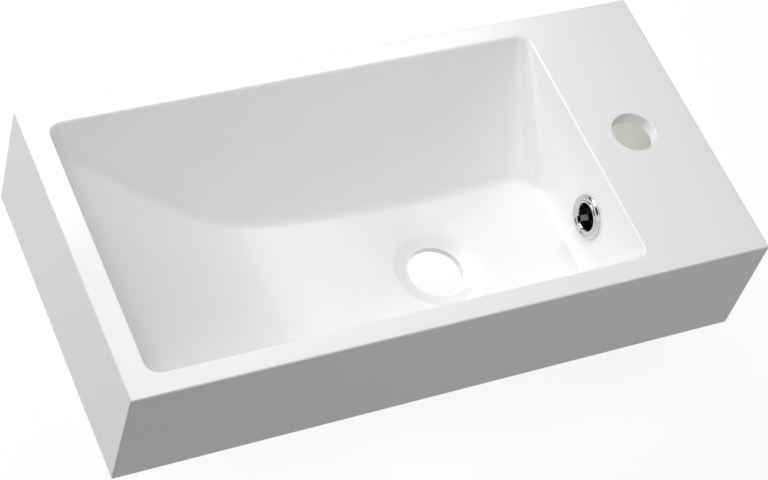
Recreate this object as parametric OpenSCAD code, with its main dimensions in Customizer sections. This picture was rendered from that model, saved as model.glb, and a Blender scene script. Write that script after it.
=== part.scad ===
// Slim wall-hung hand basin: one cast body with a ramped bowl and a tap deck at its right end,
// a push-in overflow ring, and the overflow duct that is bonded under the bowl.
// Millimetres. +X runs right along the wall, +Y points to the wall and +Z is up.
// The origin is the middle of the body's underside.

/* [Body] */
// Length along the wall
body_length = 505; // [470:5:600]
// Depth from the wall to the front face
body_depth = 250; // [235:5:300]
// Height from the underside to the rim
body_height = 100; // [95:1:120]
// Radius of the outer edges
edge_radius = 1.5; // [0.5:0.1:4]
// Thickness of the skirt round the open underside
skirt_wall = 12; // [8:0.5:15]
// Radius of the hollow's upright corners
skirt_corner = 8; // [3:0.5:15]
// Thickness of the deck under the tap
deck_wall = 12; // [8:0.5:16]

/* [Bowl] */
// Width of the rim at the left end
rim_left = 19.5; // [17:0.5:30]
// Width of the rim along the front
rim_front = 17; // [15:0.5:26]
// Width of the rim along the wall
rim_back = 17; // [15:0.5:26]
// Length of the tap deck at the right end
deck_length = 97; // [90:1:130]
// Thickness of the bowl's shell
bowl_wall = 9; // [7:0.5:11]
// Lean of the left, front and right walls, in degrees from upright
wall_lean = 5.4; // [3:0.2:8]
// Lean of the back wall, in degrees from upright
back_lean = 50; // [42:1:52]
// Plan radius of the bowl's corners at the rim
rim_corner = 10; // [6:1:16]
// Plan radius of the two right corners at the floor
floor_corner = 33; // [20:1:38]
// Radius between the floor and the walls
floor_fillet = 12; // [8:1:16]
// Size of the eased edge between the bowl and the rim
rim_ease = 1.2; // [0.5:0.1:3]

/* [Floor] */
// Level of the floor beside the waste, measured down from the rim
floor_level = 71.5; // [66:0.5:73]
// Fall of the floor towards the waste, in degrees
floor_fall = 1.2; // [0.4:0.1:2]
// Height of the floor's right corners over the floor beside the waste
floor_rise = 2; // [1:0.5:4]
// Distance from the bowl's left edge to the foot of the ramp
ramp_run = 105; // [90:1:130]
// Slope of the ramp, in degrees
ramp_lean = 26.5; // [20:0.5:28]
// Length over which the ramp eases into the floor
ramp_ease = 40; // [20:1:60]

/* [Waste] */
// Waste hole, to the right of the middle
waste_x = 31; // [10:1:60]
// Waste hole, in front of the middle
waste_front = 36.5; // [30:0.5:50]
// Diameter of the waste hole
waste_hole_d = 43; // [42:0.5:48]
// Diameter of the flat seat round the waste hole
waste_seat_d = 48; // [48:0.5:54]
// Diameter of the dish round the waste at floor level
waste_dish_d = 70; // [62:1:74]
// Depth of the seat below the floor
waste_dish_depth = 3.5; // [2:0.5:5]

/* [Tap] */
// Diameter of the tap hole
tap_hole_d = 35; // [32:0.5:36]
// Distance from the right end of the body to the middle of the tap hole
tap_inset = 54.5; // [40:0.5:60]

/* [Overflow] */
// Height of the middle of the overflow hole over the floor beside the waste
overflow_height = 29; // [26:0.5:34]
// Middle of the overflow hole, in front of the body's middle
overflow_front = 39; // [34:0.5:42]
// Diameter of the hole in the bowl's wall
overflow_hole_d = 27; // [25.6:0.2:28]
// Outer diameter of the ring's flange
ring_flange_d = 35; // [33:0.5:38]
// How far the flange's bead stands off the wall
ring_proud = 2.9; // [2.6:0.1:4]
// Diameter of the groove between the flange's bead and the lip of the way in
ring_mouth_d = 27; // [26:0.2:28]
// How far the bottom of the groove stands off the wall
ring_groove_proud = 1.8; // [1:0.1:2.2]
// How far the lip stands off the wall
ring_lip_proud = 2.7; // [2.4:0.1:3.6]
// Diameter of the way through the ring
ring_bore_d = 20.8; // [18:0.2:21]
// Thickness of the sleeve's wall
ring_sleeve_wall = 2.2; // [1.6:0.1:2.4]
// Radial clearance of the sleeve in its hole
ring_clearance = 0.3; // [0.2:0.05:0.5]
// Length of the sleeve behind the flange
ring_sleeve_length = 14; // [12:0.5:17]
// Width of the slot that lets the sleeve spring in
ring_slot_width = 4.6; // [2:0.1:6]
// Turn of the slot about the ring's axis, in degrees from straight down
ring_slot_turn = 31; // [0:1:89]

/* [Duct] */
// Clear height of the channel under the bowl
duct_gap = 9; // [7:0.5:10]
// Thickness of the duct's walls
duct_wall = 4; // [3:0.5:5]
// Clear width of the channel
duct_width = 40; // [36:1:48]
// Clear diameter of the chamber round the waste
duct_chamber_d = 76; // [70:1:84]
// Thickness of the bond line between the duct and the bowl
bond_gap = 0.3; // [0.2:0.05:0.4]
// Clearance of the chamber's mouth round the waste hole, for the waste's clamping plate
duct_hole_clearance = 12; // [10:0.5:13]

/* [Wall fixing] */
// Distance between the two fixing holes
fixing_spacing = 280; // [240:5:340]
// Height of the fixing holes
fixing_height = 62; // [50:1:68]
// Diameter of the fixing holes
fixing_hole_d = 12; // [10:0.5:14]

/* [Hidden] */
// Amount by which a cut runs past the face that it opens
overrun = 3;
// Facets round a ball or a corner of the bowl
bowl_facets = 32;
// Rounded pieces along the ramp
ramp_steps = 14;
// Facets round a bore or a turned face
bore_facets = 96;

bowl_left = rim_left - body_length / 2;
bowl_right = body_length / 2 - deck_length;
bowl_front = rim_front - body_depth / 2;
bowl_back = body_depth / 2 - rim_back;
waste_y = -waste_front;
floor_z = body_height - floor_level;
overflow_z = floor_z + overflow_height;
ring_sleeve_r = overflow_hole_d / 2 - ring_clearance;
ring_inside_r = ring_sleeve_r - ring_sleeve_wall;
tap_x = body_length / 2 - tap_inset;
ramp_foot = bowl_left + ramp_run;
ramp_start = bowl_left + floor_fillet / cos(wall_lean) - floor_fillet * sin(ramp_lean);

// Height and slope of the floor's long section, from the ramp down to the waste
function ramp_height(x) = floor_z + (waste_x - x) * tan(floor_fall)
    + tan(ramp_lean) / 2 * (ramp_foot - x + ease_length(x));
function ramp_angle(x) = atan(tan(floor_fall)
    + tan(ramp_lean) / 2 * (1 + (ramp_foot - x) / ease_length(x)));
function ease_length(x) = sqrt(pow(ramp_foot - x, 2) + pow(ramp_ease, 2));

// Where a rounded form of a plan radius and an edge radius touches each leaning wall
function from_back(z, plan, edge) = bowl_back - (body_height - z) * tan(back_lean)
    - plan - edge / cos(back_lean);
function from_front(z, plan, edge) = bowl_front + (body_height - z) * tan(wall_lean)
    + plan + edge / cos(wall_lean);
function from_right(z, plan, edge) = bowl_right - (body_height - z) * tan(wall_lean)
    - plan - edge / cos(wall_lean);

// A plate with round corners, about the origin
module round_plate(wide, deep, radius) {
    square([wide - 2 * radius, deep], center = true);
    square([wide, deep - 2 * radius], center = true);
    for (x = [-1, 1], y = [-1, 1])
        translate([x * (wide / 2 - radius), y * (deep / 2 - radius)])
            circle(r = radius, $fn = bore_facets);
}

// The outer block, whose upright and upper edges are rounded
module outer_block() {
    intersection() {
        linear_extrude(body_height)
            round_plate(body_length, body_depth, edge_radius);
        rotate([90, 0, 0])
            linear_extrude(2 * body_depth, center = true)
                round_plate(body_length, 2 * body_height, edge_radius);
        rotate([90, 0, 90])
            linear_extrude(2 * body_length, center = true)
                round_plate(body_depth, 2 * body_height, edge_radius);
    }
}

// The four corners of the bowl's outline at a drop below the rim, where the walls have leaned in
module rim_corners(drop, grow) {
    side = rim_corner + drop * tan(wall_lean);
    back = rim_corner + drop * tan(back_lean);
    for (x = [bowl_left + side, bowl_right - side], y = [bowl_front + side, bowl_back - back])
        translate([x, y, body_height - drop])
            cylinder(h = overrun, r = rim_corner + grow, $fn = bowl_facets);
}

// A ball that touches the ramp at x and the wall on one side
module ramp_ball(x, at_back, grow) {
    z = ramp_height(x) + floor_fillet * cos(ramp_angle(x));
    y = at_back ? from_back(z, 0, floor_fillet) : from_front(z, 0, floor_fillet);
    translate([x + floor_fillet * sin(ramp_angle(x)), y, z])
        sphere(r = floor_fillet + grow, $fn = bowl_facets);
}

// A disc with a round edge that makes a right corner of the floor
module corner_disc(at_back, grow) {
    z = floor_z + floor_rise + floor_fillet;
    plan = floor_corner - floor_fillet;
    y = at_back ? from_back(z, plan, floor_fillet) : from_front(z, plan, floor_fillet);
    translate([from_right(z, plan, floor_fillet), y, z])
        rotate_extrude($fn = bowl_facets)
            intersection() {
                translate([plan, 0])
                    circle(r = floor_fillet + grow, $fn = bowl_facets);
                translate([0, -body_height])
                    square([body_length, 2 * body_height]);
            }
}

// The space inside the bowl, or that space grown by an even thickness
module bowl_space(grow) {
    hull() {
        rim_corners(0, grow);
        for (step = [0:ramp_steps], at_back = [false, true])
            ramp_ball(ramp_start + (waste_x - ramp_start) * step / ramp_steps, at_back, grow);
        for (at_back = [false, true])
            corner_disc(at_back, grow);
        translate([waste_x, waste_y, floor_z - grow])
            cylinder(h = floor_fillet, d = waste_dish_d, $fn = bowl_facets);
    }
}

// The eased edge where the bowl meets the rim
module rim_flare() {
    hull() {
        rim_corners(rim_ease, 0);
        rim_corners(0, rim_ease);
    }
}

// The hollow under the bowl and the deck, open below
module under_space() {
    wide = body_length - 2 * skirt_wall;
    back = body_depth / 2 - skirt_wall;
    difference() {
        translate([0, (bowl_front + back) / 2, -overrun])
            linear_extrude(body_height - deck_wall + overrun)
                round_plate(wide, back - bowl_front, skirt_corner);
        bowl_space(bowl_wall);
    }
}

// The dish, its flat seat and the waste hole
module waste_cut() {
    translate([waste_x, waste_y, 0]) {
        cylinder(h = body_height / 2, d = waste_hole_d, $fn = bore_facets);
        translate([0, 0, floor_z - waste_dish_depth])
            cylinder(h = 2 * waste_dish_depth, d1 = waste_seat_d,
                d2 = 2 * waste_dish_d - waste_seat_d, $fn = bore_facets);
    }
}

module tap_cut() {
    translate([tap_x, 0, body_height - deck_wall - overrun])
        cylinder(h = deck_wall + 2 * overrun, d = tap_hole_d, $fn = bore_facets);
}

// Puts its children at the overflow, with z = 0 on the bowl's wall and +z into the wall
module at_overflow() {
    x = bowl_right - (body_height - overflow_z) * tan(wall_lean);
    translate([x, -overflow_front, overflow_z])
        rotate([0, 90 + wall_lean, 0])
            children();
}

module overflow_cut() {
    at_overflow()
        translate([0, 0, -overrun])
            cylinder(h = bowl_wall + 2 * overrun, d = overflow_hole_d, $fn = bore_facets);
}

module fixing_cuts() {
    for (side = [-1, 1])
        translate([side * fixing_spacing / 2, body_depth / 2 + overrun, fixing_height])
            rotate([90, 0, 0])
                cylinder(h = skirt_wall + 2 * overrun, d = fixing_hole_d, $fn = bore_facets);
}

module basin() {
    color("white")
        difference() {
            outer_block();
            bowl_space(0);
            rim_flare();
            under_space();
            waste_cut();
            tap_cut();
            overflow_cut();
            fixing_cuts();
        }
}

// A half-round section that stands off the wall between two radii of the ring
module half_round(inner, outer, proud) {
    intersection() {
        translate([(inner + outer) / 2, 0])
            scale([(outer - inner) / 2, proud])
                circle(r = 1, $fn = bore_facets);
        translate([inner, -proud])
            square([outer - inner, proud]);
    }
}

// Section of the ring: bead, groove, lip, and the sleeve with its snap barb behind the wall
module ring_section() {
    bore_r = ring_bore_d / 2;
    mouth_r = ring_mouth_d / 2;
    flange_r = ring_flange_d / 2;
    barb_start = bowl_wall + 2 * ring_clearance;
    barb_r = ring_sleeve_r + 2 * ring_clearance;
    half_round(bore_r, mouth_r, ring_lip_proud);
    half_round(mouth_r, flange_r, ring_proud);
    polygon([
        [(bore_r + mouth_r) / 2, -ring_groove_proud],
        [(mouth_r + flange_r) / 2, -ring_groove_proud],
        [(mouth_r + flange_r) / 2, 0],
        [ring_sleeve_r, 0],
        [ring_sleeve_r, barb_start],
        [barb_r, barb_start],
        [ring_sleeve_r, ring_sleeve_length],
        [ring_inside_r, ring_sleeve_length],
        [ring_inside_r, ring_sleeve_wall],
        [bore_r, 0]
    ]);
}

// One slot across the ring parts the sleeve into two springs and notches the lip
module ring_slot() {
    translate([-ring_flange_d / 2, -ring_slot_width / 2, ring_clearance])
        cube([ring_flange_d, ring_slot_width, ring_sleeve_length]);
    translate([-ring_inside_r, -ring_slot_width / 2, -ring_proud])
        cube([2 * ring_inside_r, ring_slot_width, ring_proud + 2 * ring_clearance]);
}

module overflow_ring() {
    color("silver")
        at_overflow()
            difference() {
                rotate_extrude($fn = bore_facets)
                    ring_section();
                rotate([0, 0, ring_slot_turn])
                    ring_slot();
            }
}

// Plan of the duct: a round chamber at the waste and a straight run to the overflow
module duct_plan(grow) {
    run = bowl_right + bowl_wall + duct_gap + duct_width / 2 - waste_x;
    translate([waste_x, waste_y]) {
        circle(d = duct_chamber_d + 2 * grow, $fn = bore_facets);
        translate([0, -duct_width / 2 - grow])
            square([run + grow, duct_width + 2 * grow]);
    }
}

module duct_body(reach, grow) {
    ring_room = overflow_hole_d / 2 + duct_wall;
    intersection() {
        bowl_space(reach);
        translate([0, 0, floor_z - reach])
            linear_extrude(reach + overflow_height + ring_room + grow)
                duct_plan(grow);
    }
}

module overflow_duct() {
    lid = bowl_wall + bond_gap;
    reach = lid + duct_gap + duct_wall;
    color("gainsboro")
        difference() {
            duct_body(reach, duct_wall);
            duct_body(lid + duct_gap, 0);
            bowl_space(lid);
            translate([waste_x, waste_y, floor_z - reach - overrun])
                cylinder(h = duct_wall + 2 * overrun, d = waste_hole_d + 2 * duct_hole_clearance,
                    $fn = bore_facets);
        }
}

basin();
overflow_ring();
overflow_duct();
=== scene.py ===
# %% [markdown]
# # A slim hand basin, dressed around its CAD frame
#
# The basin is one white casting with a ramped bowl, a tap deck at its right end, a chromed
# overflow ring and an overflow duct bonded under the bowl. The CAD model fixes every size.
# This lesson builds the same forms again in Blender with finer curves and eased edges, gives
# each piece its finish, and sets up the camera, the lights and the floor.

# %% Load the frame
from math import atan, cos, hypot, pi, radians, sin, tan

import bmesh
import bpy
from mathutils import Matrix, Vector


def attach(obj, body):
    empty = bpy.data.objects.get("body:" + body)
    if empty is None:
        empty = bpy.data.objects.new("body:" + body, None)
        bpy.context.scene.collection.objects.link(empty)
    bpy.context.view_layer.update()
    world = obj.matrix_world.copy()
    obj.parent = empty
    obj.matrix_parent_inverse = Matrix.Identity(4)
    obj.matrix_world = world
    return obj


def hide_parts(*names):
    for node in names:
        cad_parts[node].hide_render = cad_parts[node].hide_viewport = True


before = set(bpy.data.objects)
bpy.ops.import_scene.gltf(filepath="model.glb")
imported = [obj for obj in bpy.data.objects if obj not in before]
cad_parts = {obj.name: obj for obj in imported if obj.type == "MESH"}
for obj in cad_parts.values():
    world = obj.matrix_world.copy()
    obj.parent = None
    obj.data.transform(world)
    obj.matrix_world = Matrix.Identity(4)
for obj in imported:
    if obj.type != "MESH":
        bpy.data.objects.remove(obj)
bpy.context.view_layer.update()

# %% [markdown]
# ## Camera
#
# The view looks down on the bowl from the front left. Its place, turn and focal length were
# found from the corners of the body, so the lens is long and the edges stay almost parallel.
# The picture's middle lies a little off the axis, which the lens shift takes up.

# %% The camera
PHOTO_WIDTH = 768
CENTRE_X, CENTRE_Y = -56, -50
SENSOR, LENS = 36, 109.87
CAMERA_PLACE = (-0.688558, -0.843134, 1.407856)
CAMERA_TURN = (37.92633, -13.45883, -24.10431)

cam = bpy.data.cameras.new("camera")
cam.sensor_width = SENSOR
cam.lens = LENS
cam.shift_x = CENTRE_X / PHOTO_WIDTH
cam.shift_y = CENTRE_Y / PHOTO_WIDTH
cam.clip_end = 50
camera = bpy.data.objects.new("camera", cam)
bpy.context.collection.objects.link(camera)
camera.location = CAMERA_PLACE
camera.rotation_euler = [radians(a) for a in CAMERA_TURN]
bpy.context.scene.camera = camera
print("camera is", round(camera.location.length, 2), "m from the basin")

# %% [markdown]
# ## The basin's sizes
#
# These are the sizes of the casting in millimetres, the same as in the CAD source. The body
# stands on z = 0 with its middle over the origin, and the wall is on the +Y side. The names
# that end in LEAN or FALL are angles, and a few sizes follow in the cells that first use them.

# %% Sizes of the body, bowl and floor
MM = 0.001
LENGTH, DEPTH, HEIGHT = 505, 250, 100
LEFT_RIM, LONG_RIM, TAP_DECK = 19.5, 17, 97
BOWL_LEFT, BOWL_RIGHT = LEFT_RIM - LENGTH / 2, LENGTH / 2 - TAP_DECK
BOWL_FRONT, BOWL_BACK = LONG_RIM - DEPTH / 2, DEPTH / 2 - LONG_RIM
SHELL = 9
WALL_LEAN, BACK_LEAN = radians(5.4), radians(50)
RIM_CORNER, FLOOR_CORNER, FILLET = 10, 33, 12
FLOOR, FLOOR_FALL, FLOOR_RISE = 28.5, radians(1.2), 2
RAMP_LENGTH, RAMP_LEAN, RAMP_EASE = 105, radians(26.5), 40
RAMP_FOOT = BOWL_LEFT + RAMP_LENGTH
WASTE_X, WASTE_Y = 31, -36.5
print("the bowl's mouth is", BOWL_RIGHT - BOWL_LEFT, "by", BOWL_BACK - BOWL_FRONT, "mm")

# %% [markdown]
# ## Shared effects of the finishes
#
# Three effects turn up in more than one finish, so each is a node group. Ripple is the long,
# shallow waviness that moulded and polished surfaces keep, and that makes reflections swim.
# Grain is the fine pitting of a surface that came off a raw mould. Tone drifts a colour a
# little lighter and darker over the piece, because no real surface is one flat colour.

# %% Helpers for node trees


def new_group(name, inputs, outputs):
    group = bpy.data.node_groups.new(name, "ShaderNodeTree")
    for title, kind, value in inputs:
        socket = group.interface.new_socket(title, in_out="INPUT", socket_type=kind)
        socket.default_value = value
    for title, kind in outputs:
        group.interface.new_socket(title, in_out="OUTPUT", socket_type=kind)
    source = group.nodes.new("NodeGroupInput")
    target = group.nodes.new("NodeGroupOutput")
    return group, source, target


def noise(tree, vector, detail, roughness=0.5):
    node = tree.nodes.new("ShaderNodeTexNoise")
    node.inputs["Detail"].default_value = detail
    node.inputs["Roughness"].default_value = roughness
    tree.links.new(vector, node.inputs["Vector"])
    return node


def combine(tree, operation, first, second):
    node = tree.nodes.new("ShaderNodeMath")
    node.operation = operation
    for socket, value in zip(node.inputs, (first, second)):
        if isinstance(value, (int, float)):
            socket.default_value = value
        else:
            tree.links.new(value, socket)
    return node.outputs["Value"]


# %% The node groups
VECTOR, FLOAT, COLOR = "NodeSocketVector", "NodeSocketFloat", "NodeSocketColor"

ripple, source, target = new_group(
    "ripple", [("Vector", VECTOR, (0, 0, 0)), ("Scale", FLOAT, 20), ("Height", FLOAT, 0.1)],
    [("Height", FLOAT)])
swell = noise(ripple, source.outputs["Vector"], detail=1.0)
ripple.links.new(source.outputs["Scale"], swell.inputs["Scale"])
height = combine(ripple, "MULTIPLY", swell.outputs["Fac"], source.outputs["Height"])
ripple.links.new(height, target.inputs["Height"])

grain, source, target = new_group(
    "grain", [("Vector", VECTOR, (0, 0, 0)), ("Scale", FLOAT, 900), ("Height", FLOAT, 0.1)],
    [("Height", FLOAT), ("Fac", FLOAT)])
pits = noise(grain, source.outputs["Vector"], detail=6.0, roughness=0.65)
grain.links.new(source.outputs["Scale"], pits.inputs["Scale"])
grain.links.new(pits.outputs["Fac"], target.inputs["Fac"])
height = combine(grain, "MULTIPLY", pits.outputs["Fac"], source.outputs["Height"])
grain.links.new(height, target.inputs["Height"])

tone, source, target = new_group(
    "tone",
    [("Vector", VECTOR, (0, 0, 0)), ("Scale", FLOAT, 8), ("Light", COLOR, (1, 1, 1, 1)),
     ("Dark", COLOR, (0.9, 0.9, 0.9, 1))],
    [("Color", COLOR), ("Fac", FLOAT)])
drift = noise(tone, source.outputs["Vector"], detail=4.0)
tone.links.new(source.outputs["Scale"], drift.inputs["Scale"])
blend = tone.nodes.new("ShaderNodeMix")
blend.data_type = "RGBA"
tone.links.new(drift.outputs["Fac"], blend.inputs["Factor"])
tone.links.new(source.outputs["Dark"], blend.inputs["A"])
tone.links.new(source.outputs["Light"], blend.inputs["B"])
tone.links.new(blend.outputs["Result"], target.inputs["Color"])
tone.links.new(drift.outputs["Fac"], target.inputs["Fac"])
print("node groups", [g.name for g in bpy.data.node_groups])

# %% [markdown]
# ## Building a finish
#
# Each finish is one Principled BSDF. The helpers start one whose colour drifts between two
# tones, place a group in it, drive its roughness between two values, and turn a height into
# its bump.

# %% Helpers for finishes


def new_material(name):
    material = bpy.data.materials.new(name)
    material.use_nodes = True
    tree = material.node_tree
    return material, tree, tree.nodes["Principled BSDF"]


def place_group(tree, group, **values):
    node = tree.nodes.new("ShaderNodeGroup")
    node.node_tree = group
    place = tree.nodes.new("ShaderNodeTexCoord")
    tree.links.new(place.outputs["Object"], node.inputs["Vector"])
    for title, value in values.items():
        node.inputs[title].default_value = value
    return node


def toned_material(name, scale, light, dark):
    material, tree, shader = new_material(name)
    drifting = place_group(tree, tone, Scale=scale, Light=(*light, 1), Dark=(*dark, 1))
    tree.links.new(drifting.outputs["Color"], shader.inputs["Base Color"])
    print("finish", name, "drifts from", dark, "to", light)
    return material, tree, shader, drifting.outputs["Fac"]


def vary_roughness(tree, shader, mask, low, high):
    span = tree.nodes.new("ShaderNodeMapRange")
    span.inputs["To Min"].default_value = low
    span.inputs["To Max"].default_value = high
    tree.links.new(mask, span.inputs["Value"])
    tree.links.new(span.outputs["Result"], shader.inputs["Roughness"])


def add_bump(tree, shader, height, distance, strength=1.0):
    bump = tree.nodes.new("ShaderNodeBump")
    bump.inputs["Distance"].default_value = distance
    bump.inputs["Strength"].default_value = strength
    tree.links.new(height, bump.inputs["Height"])
    tree.links.new(bump.outputs["Normal"], shader.inputs["Normal"])


# %% [markdown]
# ## The white gelcoat
#
# The outside is a thick glossy gelcoat: almost white, with a clear mirror-like skin over a
# soft diffuse body. A clear coat gives the skin, and the ripple keeps its reflections from
# looking like ruled lines.

# %% White gelcoat
white_gloss, tree, shader, drifting = toned_material(
    "white_gloss", scale=5, light=(0.89, 0.89, 0.89), dark=(0.87, 0.87, 0.87))
shader.inputs["IOR"].default_value = 1.5
shader.inputs["Coat Weight"].default_value = 0.35
shader.inputs["Coat Roughness"].default_value = 0.02
vary_roughness(tree, shader, drifting, low=0.05, high=0.09)
waves = place_group(tree, ripple, Scale=26, Height=1)
add_bump(tree, shader, waves.outputs["Height"], distance=0.00006)

# %% [markdown]
# ## The raw underside
#
# Nobody sees the underside once the basin hangs, so the casting is left as it leaves the
# mould: matte, slightly grey and finely pitted. The pits could be modelled, but at their size
# a bump from fine noise looks the same and costs no faces.

# %% Raw casting
raw_casting, tree, shader, _ = toned_material(
    "raw_casting", scale=30, light=(0.8, 0.79, 0.77), dark=(0.72, 0.71, 0.69))
pitting = place_group(tree, grain, Scale=700, Height=1)
vary_roughness(tree, shader, pitting.outputs["Fac"], low=0.6, high=0.8)
add_bump(tree, shader, pitting.outputs["Height"], distance=0.0004, strength=0.6)

# %% [markdown]
# ## The line of the floor
#
# Seen from the front, the floor falls gently to the waste and climbs to the left rim as a ramp.
# Two flat pieces with a fillet between them could make it. One smooth formula is simpler: it
# gives the height and the slope at every x, so the ramp has no kink.

# %% Height and slope of the floor


def ease_length(x):
    return hypot(RAMP_FOOT - x, RAMP_EASE)


def ramp_height(x):
    ramp = tan(RAMP_LEAN) / 2 * (RAMP_FOOT - x + ease_length(x))
    return FLOOR + (WASTE_X - x) * tan(FLOOR_FALL) + ramp


def ramp_angle(x):
    rise = tan(RAMP_LEAN) / 2 * (1 + (RAMP_FOOT - x) / ease_length(x))
    return atan(tan(FLOOR_FALL) + rise)


print("floor heights", [round(ramp_height(x), 1) for x in (-220, -128, -50, 30)])

# %% [markdown]
# ## The space inside the bowl
#
# A pattern maker would carve the bowl as one convex plug: balls roll along the foot of the
# front and back walls, two round-edged discs make the wide corners at the right, and four
# upright pins make the small corners at the rim. The convex hull of these forms is the plug.
# Growing every radius by the shell's thickness gives the underside of the bowl too, so one
# function serves both. Only the forms' points matter to the hull, so each form is made once
# in a bmesh of its own, stripped to its points and stamped where it is needed.

# %% Where a form touches each leaning wall


def from_back(z, plan, edge):
    return BOWL_BACK - (HEIGHT - z) * tan(BACK_LEAN) - plan - edge / cos(BACK_LEAN)


def from_front(z, plan, edge):
    return BOWL_FRONT + (HEIGHT - z) * tan(WALL_LEAN) + plan + edge / cos(WALL_LEAN)


def from_right(z, plan, edge):
    return BOWL_RIGHT - (HEIGHT - z) * tan(WALL_LEAN) - plan - edge / cos(WALL_LEAN)


# %% Forms stripped to their points
FACETS = 64
PIN_HEIGHT = 6
WELD = 1e-4


def points_of(bm):
    bmesh.ops.delete(bm, geom=bm.edges[:], context="EDGES_FACES")
    bmesh.ops.remove_doubles(bm, verts=bm.verts, dist=WELD)
    form = bpy.data.meshes.new("form")
    bm.to_mesh(form)
    bm.free()
    return form


def pin(radius):
    bm = bmesh.new()
    bmesh.ops.create_cone(
        bm, segments=2 * FACETS, radius1=radius, radius2=radius, depth=PIN_HEIGHT,
        matrix=Matrix.Translation((0, 0, PIN_HEIGHT / 2)))
    return points_of(bm)


def ball(radius):
    bm = bmesh.new()
    bmesh.ops.create_uvsphere(bm, u_segments=FACETS, v_segments=FACETS // 2, radius=radius)
    return points_of(bm)


def corner_disc(plan, edge):
    bm = bmesh.new()
    stand = Matrix.Translation((plan, 0, 0)) @ Matrix.Rotation(pi / 2, 4, "X")
    ring = bmesh.ops.create_circle(bm, segments=FACETS, radius=edge, matrix=stand)
    bmesh.ops.spin(
        bm, geom=ring["verts"], cent=(0, 0, 0), axis=(0, 0, 1), angle=2 * pi,
        steps=2 * FACETS, use_merge=True)
    return points_of(bm)


def stamp(bm, form, place):
    first = len(bm.verts)
    bm.from_mesh(form)
    bm.verts.ensure_lookup_table()
    bmesh.ops.translate(bm, vec=place, verts=bm.verts[first:])


# %% The bowl's plug
RAMP_STEPS = 40
DISH = 70
FLAT = radians(0.02)


def bowl_plug(grow):
    bm = bmesh.new()
    rim_pin = pin(RIM_CORNER + grow)
    for x in (BOWL_LEFT + RIM_CORNER, BOWL_RIGHT - RIM_CORNER):
        for y in (BOWL_FRONT + RIM_CORNER, BOWL_BACK - RIM_CORNER):
            stamp(bm, rim_pin, (x, y, HEIGHT))
    ramp_ball = ball(FILLET + grow)
    start = BOWL_LEFT + FILLET / cos(WALL_LEAN) - FILLET * sin(RAMP_LEAN)
    for step in range(RAMP_STEPS + 1):
        x = start + (WASTE_X - start) * step / RAMP_STEPS
        z = ramp_height(x) + FILLET * cos(ramp_angle(x))
        for y in (from_front(z, 0, FILLET), from_back(z, 0, FILLET)):
            stamp(bm, ramp_ball, (x + FILLET * sin(ramp_angle(x)), y, z))
    plan = FLOOR_CORNER - FILLET
    disc = corner_disc(plan, FILLET + grow)
    z = FLOOR + FLOOR_RISE + FILLET
    for y in (from_front(z, plan, FILLET), from_back(z, plan, FILLET)):
        stamp(bm, disc, (from_right(z, plan, FILLET), y, z))
    stamp(bm, pin(DISH / 2), (WASTE_X, WASTE_Y, FLOOR - grow))
    hull = bmesh.ops.convex_hull(bm, input=bm.verts)
    bmesh.ops.delete(bm, geom=hull["geom_interior"], context="VERTS")
    bmesh.ops.dissolve_limit(bm, angle_limit=FLAT, verts=bm.verts, edges=bm.edges)
    return bm


bowl_cut = bowl_plug(0)
print("the bowl's plug has", len(bowl_cut.faces), "faces")

# %% [markdown]
# ## Boxes, rounded edges and finished objects
#
# Every piece is modelled in millimetres in a bmesh. Boxes and rounded edges come up again and
# again, so each has its helper. The last one brings a bmesh to metres, sets its normals and
# hands it to an object that sits at the origin, as the CAD nodes do.

# %% Helpers that shape a bmesh and make an object of it


def box(size, centre):
    bm = bmesh.new()
    bmesh.ops.create_cube(bm, size=1)
    bmesh.ops.scale(bm, vec=size, verts=bm.verts)
    bmesh.ops.translate(bm, vec=centre, verts=bm.verts)
    return bm


def round_edges(bm, edges, radius, segments):
    bmesh.ops.bevel(
        bm, geom=edges, affect="EDGES", offset=radius, segments=segments, profile=0.5,
        material=-1)


def move(bm, place):
    bmesh.ops.transform(bm, matrix=place, verts=bm.verts)
    return bm


def make_object(bm, name, material):
    bmesh.ops.scale(bm, vec=(MM, MM, MM), verts=bm.verts)
    bmesh.ops.recalc_face_normals(bm, faces=bm.faces)
    mesh = bpy.data.meshes.new(name)
    bm.to_mesh(mesh)
    bm.free()
    mesh.materials.append(material)
    obj = bpy.data.objects.new(name, mesh)
    bpy.context.collection.objects.link(obj)
    return obj


# %% [markdown]
# ## Cutting forms out of each other
#
# The casting is a block with the plug, the hollow underside and the holes taken out. The
# Boolean modifier does this exactly, and each cut's faces keep the cutter's own material,
# so the raw underside and the glossy outside part by themselves. The result is baked into
# the mesh and the cutter is thrown away.

# %% A helper that cuts


def bake_modifiers(obj):
    graph = bpy.context.evaluated_depsgraph_get()
    mesh = bpy.data.meshes.new_from_object(obj.evaluated_get(graph))
    obj.modifiers.clear()
    obj.data = mesh


def cut(obj, cutter):
    knife = obj.modifiers.new("cut", "BOOLEAN")
    knife.operation = "DIFFERENCE"
    knife.solver = "EXACT"
    knife.material_mode = "TRANSFER"
    knife.object = cutter
    bake_modifiers(obj)
    bpy.data.objects.remove(cutter)
    print(obj.name, "has", len(obj.data.polygons), "faces after a cut")


# %% [markdown]
# ## The block
#
# The body starts as a box of its real size. Its upright and upper edges are eased by
# 1.5 mm, as the mould leaves them. The lower edge is ground flat, so it gets a finer ease,
# and that is why one bevel for all the edges wouldn't do.

# %% The outer block
EDGE, EDGE_STEPS = 1.5, 6
LOWER_EDGE, LOWER_STEPS = 0.7, 3

bm = box((LENGTH, DEPTH, HEIGHT), (0, 0, HEIGHT / 2))
upper = [e for e in bm.edges if max(v.co.z for v in e.verts) > HEIGHT / 2]
round_edges(bm, upper, EDGE, EDGE_STEPS)
lower = [e for e in bm.edges if max(v.co.z for v in e.verts) < EDGE / 2]
round_edges(bm, lower, LOWER_EDGE, LOWER_STEPS)
basin = make_object(bm, "basin_casting", white_gloss)
cut(basin, make_object(bowl_cut, "bowl_cut", white_gloss))

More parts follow.
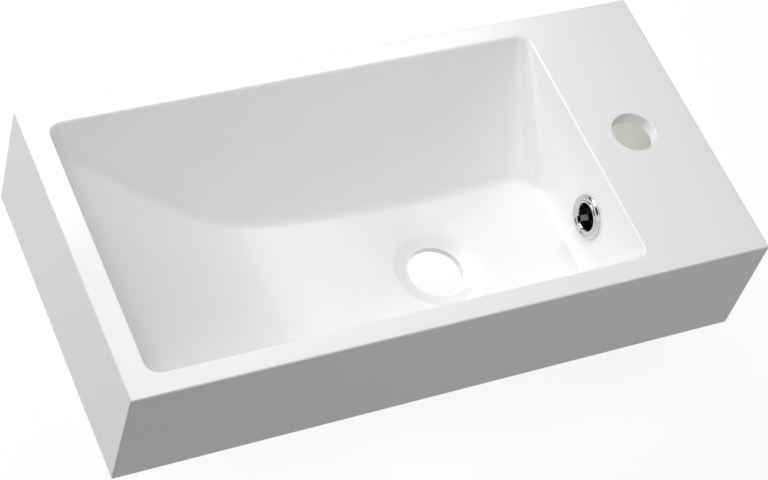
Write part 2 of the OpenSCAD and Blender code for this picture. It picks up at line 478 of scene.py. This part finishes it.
# %% [markdown]
# ## The rim
#
# Where the bowl meets the rim the gelcoat rounds over a small radius. It catches the light
# as a thin bright line along the front and the right. A bevel on that one closed loop of
# edges makes it: it leaves the deck flat and follows the steep walls and the leaning back.

# %% Rounding the bowl's edge
RIM_EDGE, RIM_STEPS = 1.4, 5
LEVEL = 1e-3
TURNS_DOWN = radians(20)


def on_rim(edge):
    level = all(abs(v.co.z - HEIGHT) < LEVEL for v in edge.verts)
    return level and edge.calc_face_angle() > TURNS_DOWN


bm = bmesh.new()
bm.from_mesh(basin.data)
bmesh.ops.scale(bm, vec=(1 / MM, 1 / MM, 1 / MM), verts=bm.verts)
rim = [e for e in bm.edges if on_rim(e)]
round_edges(bm, rim, RIM_EDGE, RIM_STEPS)
bmesh.ops.scale(bm, vec=(MM, MM, MM), verts=bm.verts)
bm.to_mesh(basin.data)
bm.free()
print("rounded", len(rim), "edges of the rim")

# %% [markdown]
# ## The hollow underside
#
# A solid block under the bowl would be far too heavy for its wall bolts, so the basin is cast
# hollow from below. The hollow is a plain box with rounded corners, less the bowl grown by its
# shell. It starts a little below the body, because a cutter that ends on the surface it cuts
# leaves ragged edges.

# %% The hollow
SKIRT, SKIRT_CORNER, SKIRT_STEPS = 12, 8, 10
DECK = 12
HOLLOW_EDGE, HOLLOW_STEPS = 3, 4
OVERRUN = 4

under_deck = HEIGHT - DECK
hollow_back = DEPTH / 2 - SKIRT
hollow_size = (LENGTH - 2 * SKIRT, hollow_back - BOWL_FRONT, under_deck + OVERRUN)
hollow_middle = (0, (hollow_back + BOWL_FRONT) / 2, (under_deck - OVERRUN) / 2)

bm = box(hollow_size, hollow_middle)
upright = [e for e in bm.edges if e.verts[0].co.z != e.verts[1].co.z]
round_edges(bm, upright, SKIRT_CORNER, SKIRT_STEPS)
top = [e for e in bm.edges if min(v.co.z for v in e.verts) > under_deck - LEVEL]
round_edges(bm, top, HOLLOW_EDGE, HOLLOW_STEPS)
hollow = make_object(bm, "hollow", raw_casting)
cut(hollow, make_object(bowl_plug(SHELL), "shell", raw_casting))
cut(basin, hollow)

# %% [markdown]
# ## Turned cuts
#
# The holes are turned forms: a profile of radius and height, spun round its axis. A plain
# cylinder would leave a knife edge. Spinning lets the cutter flare a little where it leaves
# the surface, and that flare is the eased edge which a real moulded hole has.

# %% Helpers that draw a profile and turn it
ARC_STEPS = 6
HOLE_EASE, FLARE, FLARE_TURN = 0.8, 2, 75


def turned(points, steps=96):
    bm = bmesh.new()
    verts = [bm.verts.new((r, 0, z)) for r, z in points]
    edges = [bm.edges.new(pair) for pair in zip(verts, verts[1:])]
    bmesh.ops.spin(
        bm, geom=verts + edges, cent=(0, 0, 0), axis=(0, 0, 1), angle=2 * pi, steps=steps,
        use_merge=True)
    bmesh.ops.remove_doubles(bm, verts=bm.verts, dist=WELD)
    return bm


def arc(r, z, radius, start, end):
    turns = [radians(start + (end - start) * k / ARC_STEPS) for k in range(ARC_STEPS + 1)]
    return [(r + radius * cos(turn), z + radius * sin(turn)) for turn in turns]


def eased_hole(radius, low, high, last_turn=FLARE_TURN):
    middle = radius + HOLE_EASE
    profile = [(0, low - OVERRUN), (middle + FLARE, low - OVERRUN)]
    profile += arc(middle, low + HOLE_EASE, HOLE_EASE, 180 + FLARE_TURN, 180)
    profile += arc(middle, high - HOLE_EASE, HOLE_EASE, 180, 180 - last_turn)
    return profile


# %% [markdown]
# ## The tap hole
#
# The tap stands on the deck in a 35 mm hole, the bore that such taps are made for. Drilled, it
# would have sharp ends. In a casting both ends are eased by the mould, so the turned cutter
# flares at the top and again at the underside of the deck.

# %% The tap hole
TAP_R, TAP_X = 17.5, LENGTH / 2 - 54.5

profile = eased_hole(TAP_R, under_deck, HEIGHT)
profile += [(TAP_R + HOLE_EASE + FLARE, HEIGHT + OVERRUN), (0, HEIGHT + OVERRUN)]
tap_hole = move(turned(profile), Matrix.Translation((TAP_X, 0, 0)))
cut(basin, make_object(tap_hole, "tap_hole", white_gloss))

# %% [markdown]
# ## The waste
#
# The floor dishes in round the waste hole so that the waste's flange sinks to floor level.
# The dish has a soft shoulder, a flat seat and a short neck. From the seat it slopes up at
# 19.3 degrees, and the shoulder rounds that over to 5, the slope with which it runs out.

# %% The waste's dish, seat and neck
WASTE_R, SEAT_R, SLOPE_R, DISH_DEPTH = 21.5, 24, 31, 3.5
DISH_SLOPE, SHOULDER, RUN_OUT = 19.3, 14, 5
CUT_R, CUT_TOP = 50, 60

seat = FLOOR - DISH_DEPTH
profile = eased_hole(WASTE_R, FLOOR - SHELL, seat, last_turn=90)
profile += [(SEAT_R, seat)]
slope_z = seat + (SLOPE_R - SEAT_R) * tan(radians(DISH_SLOPE))
shoulder_r = SLOPE_R + SHOULDER * sin(radians(DISH_SLOPE))
shoulder_z = slope_z - SHOULDER * cos(radians(DISH_SLOPE))
profile += arc(shoulder_r, shoulder_z, SHOULDER, 90 + DISH_SLOPE, 90 + RUN_OUT)
last_r, last_z = profile[-1]
profile += [(CUT_R, last_z + (CUT_R - last_r) * tan(radians(RUN_OUT)))]
profile += [(CUT_R, CUT_TOP), (0, CUT_TOP)]
waste = move(turned(profile), Matrix.Translation((WASTE_X, WASTE_Y, 0)))
cut(basin, make_object(waste, "waste_cut", white_gloss))

# %% [markdown]
# ## The overflow hole and the wall fixings
#
# The overflow hole runs square through the leaning right wall. Its edge hides under the
# ring. The two fixing holes go through the back of the skirt. Plain rods cut all three,
# because none of these edges is seen once the basin hangs.

# %% The overflow hole and the fixing holes
OVERFLOW_Y, OVERFLOW_Z, OVERFLOW_R = -39, 57.5, 13.5
FIXING_X, FIXING_Z, FIXING_R = 140, 62, 6

wall_x = BOWL_RIGHT - (HEIGHT - OVERFLOW_Z) * tan(WALL_LEAN)
AT_OVERFLOW = (
    Matrix.Translation((wall_x, OVERFLOW_Y, OVERFLOW_Z))
    @ Matrix.Rotation(pi / 2 + WALL_LEAN, 4, "Y"))


def rod(radius, wall):
    low, high = -OVERRUN, wall + OVERRUN
    return turned([(0, low), (radius, low), (radius, high), (0, high)])


overflow_hole = move(rod(OVERFLOW_R, SHELL), AT_OVERFLOW)
cut(basin, make_object(overflow_hole, "overflow_hole", raw_casting))
for x in (-FIXING_X, FIXING_X):
    lying = Matrix.Translation((x, DEPTH / 2, FIXING_Z)) @ Matrix.Rotation(pi / 2, 4, "X")
    cut(basin, make_object(move(rod(FIXING_R, SKIRT), lying), "fixing_hole", raw_casting))

# %% [markdown]
# ## Smooth and sharp
#
# Curved faces are shaded smooth and true corners stay sharp. Weighted normals then let the
# large flat faces keep their own direction, so the gloss on them stays straight up to the
# eased edges.

# %% Shading of the casting
FACE_WEIGHT = 80
SEAM = 1e-6


def smooth(obj, sharp):
    obj.data.polygons.foreach_set("use_smooth", [True] * len(obj.data.polygons))
    obj.data.set_sharp_from_angle(angle=radians(sharp))
    weights = obj.modifiers.new("weights", "WEIGHTED_NORMAL")
    weights.keep_sharp = True
    weights.weight = FACE_WEIGHT
    bake_modifiers(obj)
    print(obj.name, "faces", len(obj.data.polygons))


bm = bmesh.new()
bm.from_mesh(basin.data)
bmesh.ops.remove_doubles(bm, verts=bm.verts, dist=SEAM)
print("open edges in the casting", len([e for e in bm.edges if len(e.link_faces) != 2]))
bm.to_mesh(basin.data)
bm.free()
smooth(basin, sharp=32)
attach(basin, "root")
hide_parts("basin")

# %% [markdown]
# ## Chrome
#
# The ring is plated plastic: a true mirror whose tone is a little uneven, with faint polishing
# marks that only the roughness shows. A mirror shows its surroundings more than itself, so
# most of its look comes from the room and the black flags at the end of this lesson.

# %% Chrome
chrome, tree, shader, drifting = toned_material(
    "chrome", scale=120, light=(0.72, 0.725, 0.73), dark=(0.62, 0.625, 0.63))
shader.inputs["Metallic"].default_value = 1
vary_roughness(tree, shader, drifting, low=0.03, high=0.08)
waves = place_group(tree, ripple, Scale=260, Height=1)
add_bump(tree, shader, waves.outputs["Height"], distance=0.00001)

# %% [markdown]
# ## The overflow ring
#
# The ring is one plated moulding: a rounded bead that covers the hole's edge, a fine groove, a
# rounded lip where the water goes in, and a sleeve with a snap barb behind the wall. It is a
# turned form, so its profile is drawn once as radius and depth and spun round the hole's axis.

# %% Turning the ring
RING_R, RING_PROUD, GROOVE_R, LIP_PROUD, BORE_R = 17.5, 2.9, 13.5, 2.7, 10.4
GROOVE_TURN, ROUND_STEP = 44, 8
SLEEVE_R, SLEEVE_END, SLEEVE_WALL = OVERFLOW_R - 0.3, 14, 2.2
BARB, RING_EASE, LIP_FOOT = 0.6, 0.3, 0.2
inside_r = SLEEVE_R - SLEEVE_WALL
barb_r, barb_start = SLEEVE_R + BARB, SHELL + BARB


def half_round(inner, outer, proud, start, end):
    middle, half = (inner + outer) / 2, (outer - inner) / 2
    turns = [radians(a) for a in range(start, end + 1, ROUND_STEP)]
    return [(middle + half * cos(a), -proud * sin(a)) for a in turns]


profile = half_round(GROOVE_R, RING_R, RING_PROUD, 0, 180 - GROOVE_TURN)
profile += half_round(BORE_R, GROOVE_R, LIP_PROUD, GROOVE_TURN, 180)
profile += [
    (BORE_R, LIP_FOOT), (inside_r, SLEEVE_WALL), (inside_r, SLEEVE_END - RING_EASE),
    (inside_r + RING_EASE, SLEEVE_END), (SLEEVE_R - RING_EASE, SLEEVE_END),
    (SLEEVE_R, SLEEVE_END - RING_EASE), (barb_r, barb_start + RING_EASE),
    (barb_r, barb_start), (SLEEVE_R, barb_start), (SLEEVE_R, 0), (RING_R, 0)]
ring = move(turned(profile, steps=2 * FACETS), AT_OVERFLOW)
ring = make_object(ring, "overflow_ring_chrome", chrome)
print("the ring's profile has", len(profile), "points")

# %% [markdown]
# ## The slot in the ring
#
# One slot across the sleeve parts it into two springs, so that it can be pushed through the
# wall. It runs on into the lip, where it shows from above as a dark notch in the bright rim.

# %% Cutting the slot
SLOT, SLOT_TURN = 4.6, 31
SLOT_START, NOTCH_END = 0.3, 0.6


def slot_block(reach, start, end):
    bm = box((2 * reach, SLOT, end - start), (0, 0, (start + end) / 2))
    move(bm, Matrix.Rotation(radians(SLOT_TURN), 4, "Z"))
    return make_object(move(bm, AT_OVERFLOW), "slot", chrome)


cut(ring, slot_block(RING_R, SLOT_START, SLEEVE_END + OVERRUN))
cut(ring, slot_block(inside_r, -RING_PROUD, NOTCH_END))
smooth(ring, sharp=40)
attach(ring, "root")
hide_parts("overflow_ring")

# %% [markdown]
# ## The duct's plastic
#
# The duct is bonded under the bowl where nobody looks: a plain moulding with a dull skin. Its
# CAD shape is right as it is, so it only gets this finish.

# %% Raw moulding
raw_moulding, tree, shader, _ = toned_material(
    "raw_moulding", scale=40, light=(0.028, 0.028, 0.03), dark=(0.018, 0.018, 0.02))
skin = place_group(tree, grain, Scale=1500, Height=1)
vary_roughness(tree, shader, skin.outputs["Fac"], low=0.4, high=0.55)
add_bump(tree, shader, skin.outputs["Height"], distance=0.0001, strength=0.4)
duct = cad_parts["overflow_duct"]
duct.data.materials.clear()
duct.data.materials.append(raw_moulding)

# %% [markdown]
# ## Floor
#
# A wide pale floor lies under the basin. What the camera and the reflections see of it is
# lifted towards white, and the shadow stays in it.

# %% The floor
FLOOR_REACH, FLOOR_DROP = 6, 0.15


def seen_directly(tree):
    path = tree.nodes.new("ShaderNodeLightPath")
    by_eye = combine(
        tree, "MAXIMUM", path.outputs["Is Camera Ray"], path.outputs["Is Glossy Ray"])
    return combine(tree, "MAXIMUM", by_eye, path.outputs["Is Transmission Ray"])


floor_white, tree, shader = new_material("floor_white")
shader.inputs["Base Color"].default_value = (0.3, 0.3, 0.3, 1)
shader.inputs["Roughness"].default_value = 0.9
shader.inputs["Emission Color"].default_value = (0.82, 0.82, 0.82, 1)
tree.links.new(seen_directly(tree), shader.inputs["Emission Strength"])

bm = bmesh.new()
bmesh.ops.create_grid(bm, x_segments=8, y_segments=8, size=FLOOR_REACH / MM)
bmesh.ops.translate(bm, vec=(0, 0, -FLOOR_DROP / MM), verts=bm.verts)
floor = make_object(bm, "floor", floor_white)
print("the floor lies", FLOOR_DROP, "m below the basin")

# %% [markdown]
# ## Soft light
#
# Broad soft lamps stand round the body, strongest at the back left, so the front stays in
# shade. Four smaller ones hang close over the bowl: from there they reach its floor and its
# right wall, but not the outer faces. One more lies below and opens up the raw hollow. A white
# gloss would mirror each lamp as a hard-edged patch, so they are hidden from glossy rays.

# %% Helpers for the lamps
LAMP_DISTANCE, LAMP_SIZE, LAMP_AIM = 2.2, 1.4, (0, 0, 0.05)
OVER_HEIGHT, OVER_SIZE = 0.7, 0.3


def softbox(name, place, aim, wide, deep, radiance):
    lamp = bpy.data.lights.new(name, "AREA")
    lamp.shape = "RECTANGLE"
    lamp.size, lamp.size_y = wide, deep
    lamp.energy = radiance * pi * wide * deep
    obj = bpy.data.objects.new(name, lamp)
    bpy.context.collection.objects.link(obj)
    obj.location = place
    turn = (Vector(aim) - Vector(place)).to_track_quat("-Z", "Y")
    obj.rotation_euler = turn.to_euler()
    obj.visible_glossy = False
    print("lamp", name, "gives", round(lamp.energy, 2), "W")
    return obj


def soft_lamp(name, height, turn, radiance):
    height, turn = radians(height), radians(turn)
    way = Vector((cos(height) * cos(turn), cos(height) * sin(turn), sin(height)))
    softbox(name, LAMP_DISTANCE * way, LAMP_AIM, LAMP_SIZE, LAMP_SIZE, radiance)


def lamp_over(name, x, y, radiance):
    softbox(name, (x, y, OVER_HEIGHT), (x, y, 0), OVER_SIZE, OVER_SIZE, radiance)


# %% The soft lamps
soft_lamp("back_left", height=35, turn=135, radiance=4.1)
soft_lamp("left", height=35, turn=180, radiance=0.98)
soft_lamp("front_left", height=35, turn=225, radiance=0.65)
soft_lamp("front_right", height=15, turn=315, radiance=0.34)
lamp_over("over_back", x=0.05, y=0.3, radiance=4.7)
lamp_over("over_back_left", x=-0.15, y=0.3, radiance=1.0)
lamp_over("over_front", x=0.05, y=-0.3, radiance=3.2)
lamp_over("over_front_right", x=0.2, y=-0.3, radiance=2.4)
below = softbox(
    "below", place=(0.09, 0.01, -0.08), aim=(0.09, 0.01, 1), wide=0.28, deep=0.2, radiance=1.8)
below.visible_camera = False

# %% [markdown]
# ## The mirrored softbox
#
# The flat rim is a weak mirror. What whitens its left and back is a softbox beyond the wall,
# with a wide and dim glow round its bright core that gives the long gradient on the front rim
# and on the floor of the bowl. This lamp is only seen in reflections. Its strength fades by
# its own parametric coordinates, which run from 0 to 1 across and along it, so that no edge
# of it is mirrored.

# %% The softbox that only reflections show
PANEL_TURN = radians(26.9)

panel = softbox(
    "mirrored_softbox", place=(0.45, 1.1, 1.5), aim=(0.45, 1.1, 0), wide=2.0, deep=1.3,
    radiance=1)
panel.rotation_euler = (0, 0, PANEL_TURN)
panel.visible_glossy = True
panel.visible_diffuse = False
panel.visible_camera = False

# %% Its core and its glow
CORE, CORE_TILT = 4.8, 0.4
CORE_ACROSS, CORE_ALONG = (0.85, 0.725), (0.56, 0.76)
GLOW = 2.75
GLOW_ACROSS, GLOW_ALONG = (0.95, 0.4), (0, 0.31)


def fade(tree, value, start, end):
    node = tree.nodes.new("ShaderNodeMapRange")
    node.interpolation_type = "SMOOTHSTEP"
    node.inputs["From Min"].default_value = start
    node.inputs["From Max"].default_value = end
    tree.links.new(value, node.inputs["Value"])
    return node.outputs["Result"]


def patch(tree, across, across_span, along, along_span, strength):
    sides, ends = fade(tree, across, *across_span), fade(tree, along, *along_span)
    return combine(tree, "MULTIPLY", combine(tree, "MULTIPLY", sides, ends), strength)


panel.data.use_nodes = True
tree = panel.data.node_tree
place = tree.nodes.new("ShaderNodeNewGeometry")
split = tree.nodes.new("ShaderNodeSeparateXYZ")
tree.links.new(place.outputs["Parametric"], split.inputs["Vector"])
across, along = split.outputs["X"], split.outputs["Y"]
slanted = combine(tree, "ADD", along, combine(tree, "MULTIPLY", across, CORE_TILT))
core = patch(tree, across, CORE_ACROSS, slanted, CORE_ALONG, CORE)
glow = patch(tree, across, GLOW_ACROSS, along, GLOW_ALONG, GLOW)
tree.links.new(combine(tree, "ADD", core, glow), tree.nodes["Emission"].inputs["Strength"])
print("the softbox fades with", len(tree.nodes), "nodes")

# %% [markdown]
# ## The room
#
# Everything the lamps leave out is an even white room. The camera and the reflections see it
# white, but it sends no light of its own onto the basin.

# %% The room
world = bpy.data.worlds.new("studio")
bpy.context.scene.world = world
world.use_nodes = True
tree = world.node_tree
room = tree.nodes["Background"]
room.inputs["Color"].default_value = (1, 1, 1, 1)
tree.links.new(seen_directly(tree), room.inputs["Strength"])
print("the room has", len(tree.nodes), "nodes")

# %% [markdown]
# ## Black flags
#
# In an all-white room chrome loses its drawing. Three black discs hang where the rounded flank
# of the ring mirrors them, and they give it its dark streaks. They are studio gear: nothing
# but a reflection shows them, and they cast no shadow.

# %% The flags
flag_black, tree, shader = new_material("flag_black")
shader.inputs["Base Color"].default_value = (0.01, 0.01, 0.01, 1)
shader.inputs["Roughness"].default_value = 1
shader.inputs["Specular IOR Level"].default_value = 0


def flag(name, way, distance, radius):
    way = Vector(way).normalized()
    bm = bmesh.new()
    bmesh.ops.create_circle(bm, cap_ends=True, segments=FACETS, radius=radius / MM)
    move(bm, way.to_track_quat("Z", "Y").to_matrix().to_4x4())
    bmesh.ops.translate(bm, vec=AT_OVERFLOW.translation + way * distance / MM, verts=bm.verts)
    obj = make_object(bm, name, flag_black)
    obj.visible_camera = False
    obj.visible_diffuse = False
    obj.visible_transmission = False
    obj.visible_shadow = False
    print(name, "hangs", distance, "m from the ring")


flag("flag_top", (-0.35, -0.2, 0.92), distance=1.3, radius=0.5)
flag("flag_left", (-0.72, -0.12, 0.68), distance=1.32, radius=0.42)
flag("flag_back", (-0.3, 0.8, 0.5), distance=1.3, radius=0.42)

# %% [markdown]
# ## View settings
#
# The Standard view transform shows colours as they are written.

# %% Finish
bpy.context.scene.view_settings.view_transform = "Standard"
